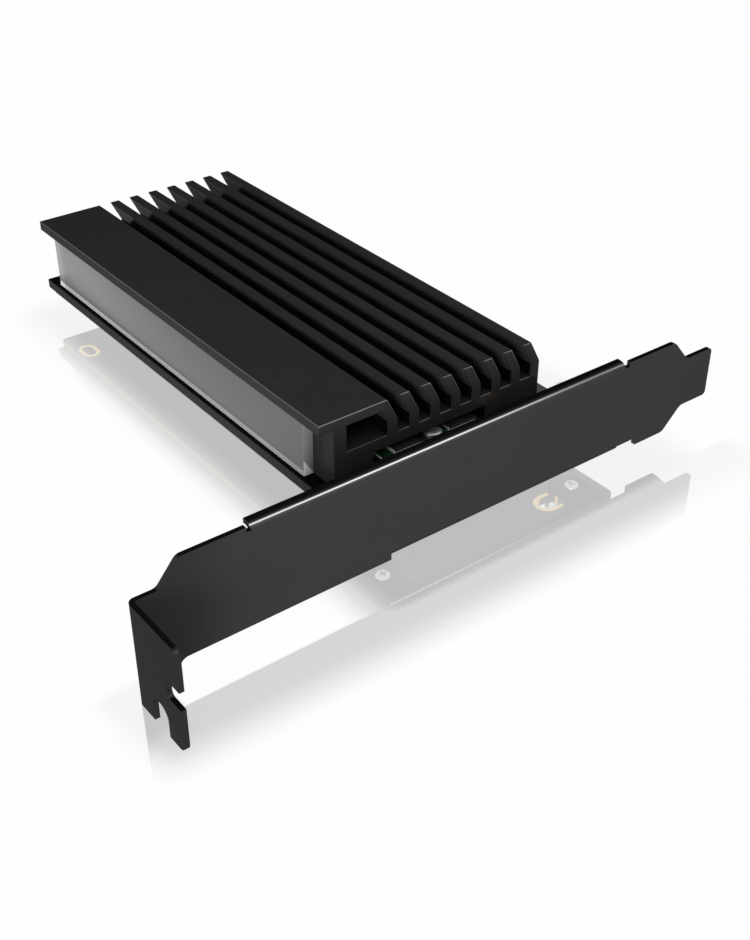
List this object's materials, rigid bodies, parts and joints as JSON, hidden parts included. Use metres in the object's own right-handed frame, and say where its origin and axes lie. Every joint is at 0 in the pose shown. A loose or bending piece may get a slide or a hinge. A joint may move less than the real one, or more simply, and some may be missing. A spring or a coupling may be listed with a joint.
{
  "type": "nvme adapter card",
  "caption": "Expansion card for a solid state drive, with a finned black heat sink, a light guide along its side and a bent slot bracket.",
  "frame": {"origin": "centre of the bracket plate's outer face, between the screw tab's outer face and the tongue's tip", "axes": "+X along the bracket from the screw tab to the tongue and the edge connector, +Y away from the bracket along the card, +Z from the board up to the heat sink"},
  "size_m": [0.12, 0.1301, 0.0232],
  "materials": {
    "bracket_paint": "satin black powder coat",
    "steel": "bright plated steel",
    "board_black": "black solder mask",
    "gold": "gold plate",
    "black_anodised": "fine satin black anodised",
    "frosted_acrylic": "frosted translucent",
    "white_board": "white solder mask",
    "diode_case": "glossy",
    "board_green": "green solder mask",
    "chip_black": "moulded resin",
    "tin": "tinned",
    "socket_black": "moulded",
    "standoff_nickel": "nickel plated",
    "pad_grey": "soft matte",
    "ferrite": "sintered",
    "can_aluminium": "bright",
    "ceramic_tan": "ceramic",
    "resistor_black": "glazed"
  },
  "bodies": {
    "root": {"slot_bracket": "bracket_paint", "bracket_screws": "steel", "bracket_nuts": "steel", "board": "board_black", "slot_rings": "gold", "edge_contacts": "gold", "heatsink": "black_anodised", "heatsink_screws": "steel", "light_guide": "frosted_acrylic", "led_strip": "white_board", "leds": "diode_case", "led_pins": "gold", "ssd_board": "board_green", "ssd_contacts": "gold", "ssd_controller": "chip_black", "ssd_memory": "chip_black", "ssd_flash_chips": "chip_black", "ssd_end_parts": "chip_black", "ssd_capacitors": "ceramic_tan", "ssd_capacitor_ends": "tin", "card_socket": "socket_black", "card_socket_tails": "tin", "card_socket_tabs": "tin", "drive_standoff": "standoff_nickel", "drive_screw": "steel", "thermal_pad": "pad_grey", "regulator": "chip_black", "regulator_leads": "tin", "inductor_case": "ferrite", "inductor_core": "ferrite", "tank_capacitor_base": "socket_black", "tank_capacitor_can": "can_aluminium", "strip_capacitors": "ceramic_tan", "strip_resistors": "resistor_black", "strip_part_ends": "tin", "coupling_capacitors": "ceramic_tan", "coupling_capacitor_ends": "tin", "clock_chip": "chip_black"}
  },
  "joints": []
}
